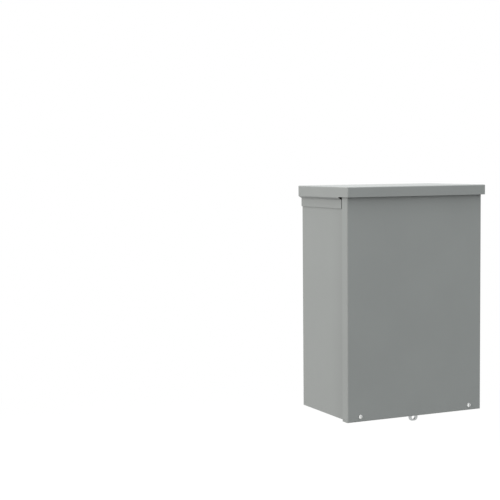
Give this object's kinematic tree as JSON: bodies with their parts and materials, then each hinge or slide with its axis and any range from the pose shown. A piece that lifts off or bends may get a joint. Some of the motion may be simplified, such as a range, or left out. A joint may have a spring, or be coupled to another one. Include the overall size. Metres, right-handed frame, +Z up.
{
  "type": "electrical enclosure",
  "caption": "Wall-hung rainproof sheet steel box for electrical wiring, with a drip hood, a slip-on cover held by screws along its foot, and a padlock eye.",
  "frame": {"origin": "centre of the four wall holes, on the wall plane that the embossed pads touch", "axes": "+Z up, -Y out of the cover's face, +Y into the wall, +X to the right as seen from the front"},
  "size_m": [0.3218, 0.2108, 0.4748],
  "materials": {
    "grey_paint": "satin grey powder coat over galvanised steel",
    "zinc_plating": "bright zinc plating",
    "copper_plating": "copper flashed weld stud"
  },
  "bodies": {
    "enclosure": {"body_shell": "grey_paint", "drip_hood": "grey_paint", "bottom_plate": "grey_paint", "cover_nut_left": "zinc_plating", "cover_nut_right": "zinc_plating", "padlock_tab_body": "zinc_plating", "tab_rivets": "zinc_plating", "ground_stud": "copper_plating", "ground_washer": "zinc_plating", "ground_nut": "zinc_plating"},
    "cover": {"front_cover": "grey_paint", "padlock_tab_cover": "zinc_plating"},
    "screw_left": {"cover_screw_left": "zinc_plating"},
    "screw_right": {"cover_screw_right": "zinc_plating"}
  },
  "joints": [
    {"name": "cover_swing", "type": "hinge", "parent": "enclosure", "child": "cover", "pos_m": [0, -0.2003, 0.226], "axis": [-1, 0, 0], "range_deg": [0, 25]},
    {"name": "screw_left_turn", "type": "hinge", "parent": "cover", "child": "screw_left", "pos_m": [-0.1282, -0.2018, -0.22175], "axis": [0, 1, 0], "continuous": true},
    {"name": "screw_right_turn", "type": "hinge", "parent": "cover", "child": "screw_right", "pos_m": [0.1282, -0.2018, -0.22175], "axis": [0, 1, 0], "continuous": true}
  ]
}
